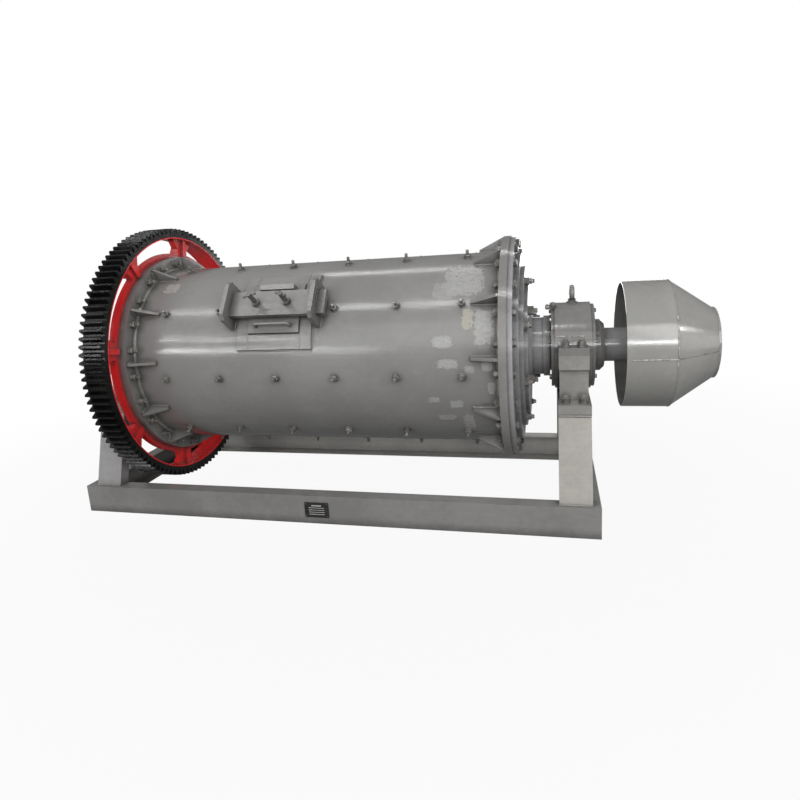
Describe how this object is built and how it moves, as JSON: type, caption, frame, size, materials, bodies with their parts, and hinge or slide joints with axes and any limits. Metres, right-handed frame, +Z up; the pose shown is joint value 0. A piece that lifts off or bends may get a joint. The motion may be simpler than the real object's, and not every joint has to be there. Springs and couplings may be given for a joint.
{
  "type": "ball mill",
  "caption": "Horizontal ball mill: bolted drum with girth gear, hatch and cone feeder, turning in two pillow bearings on a welded channel frame.",
  "frame": {"origin": "on the floor, under the middle of the whole mill's box", "axes": "+X along the mill towards the feed end, -Y towards the side with the hatch and the nameplate, +Z up"},
  "size_m": [3.072, 1.368, 1.432],
  "materials": {
    "mill_grey": "glossy machine paint",
    "leg_grey": "satin paint, paler",
    "feeder_grey": "glossy machine paint",
    "gear_black": "black, oiled",
    "gear_red": "glossy red paint",
    "plate_black": "blank black plate",
    "screw_steel": "oiled steel under thin paint"
  },
  "bodies": {
    "frame": {"front_beam": "mill_grey", "back_beam": "mill_grey", "discharge_cross_beam": "mill_grey", "feed_cross_beam": "mill_grey", "feed_front_leg": "leg_grey", "feed_back_leg": "leg_grey", "discharge_front_leg": "mill_grey", "discharge_back_leg": "mill_grey", "nameplate": "plate_black", "feed_bearing_base": "mill_grey", "feed_bearing_cap": "mill_grey", "feed_inner_cover": "mill_grey", "feed_outer_cover": "mill_grey", "feed_lifting_eye": "mill_grey", "discharge_bearing_base": "mill_grey", "discharge_bearing_cap": "mill_grey", "discharge_inner_cover": "mill_grey", "discharge_outer_cover": "mill_grey", "discharge_lifting_eye": "mill_grey"},
    "drum": {"shell": "mill_grey", "feed_flange": "mill_grey", "discharge_flange": "mill_grey", "feed_gussets": "mill_grey", "discharge_gussets": "mill_grey", "girth_gear": "gear_black", "gear_spider": "gear_red", "feed_head": "mill_grey", "feed_trunnion": "mill_grey", "discharge_head": "mill_grey", "discharge_trunnion": "mill_grey", "feed_pipe": "mill_grey", "feeder_plate": "feeder_grey", "feeder_drum": "feeder_grey", "feeder_cone": "feeder_grey", "hatch_frame": "mill_grey", "hatch_cover": "mill_grey", "hatch_bracket_discharge": "mill_grey", "hatch_bracket_feed": "mill_grey", "hatch_yoke": "mill_grey", "hatch_screws": "screw_steel", "cover_handles": "mill_grey"}
  },
  "joints": [
    {"name": "drum_spin", "type": "hinge", "parent": "frame", "child": "drum", "pos_m": [-0.286, 0, 0.748], "axis": [1, 0, 0], "continuous": true}
  ]
}
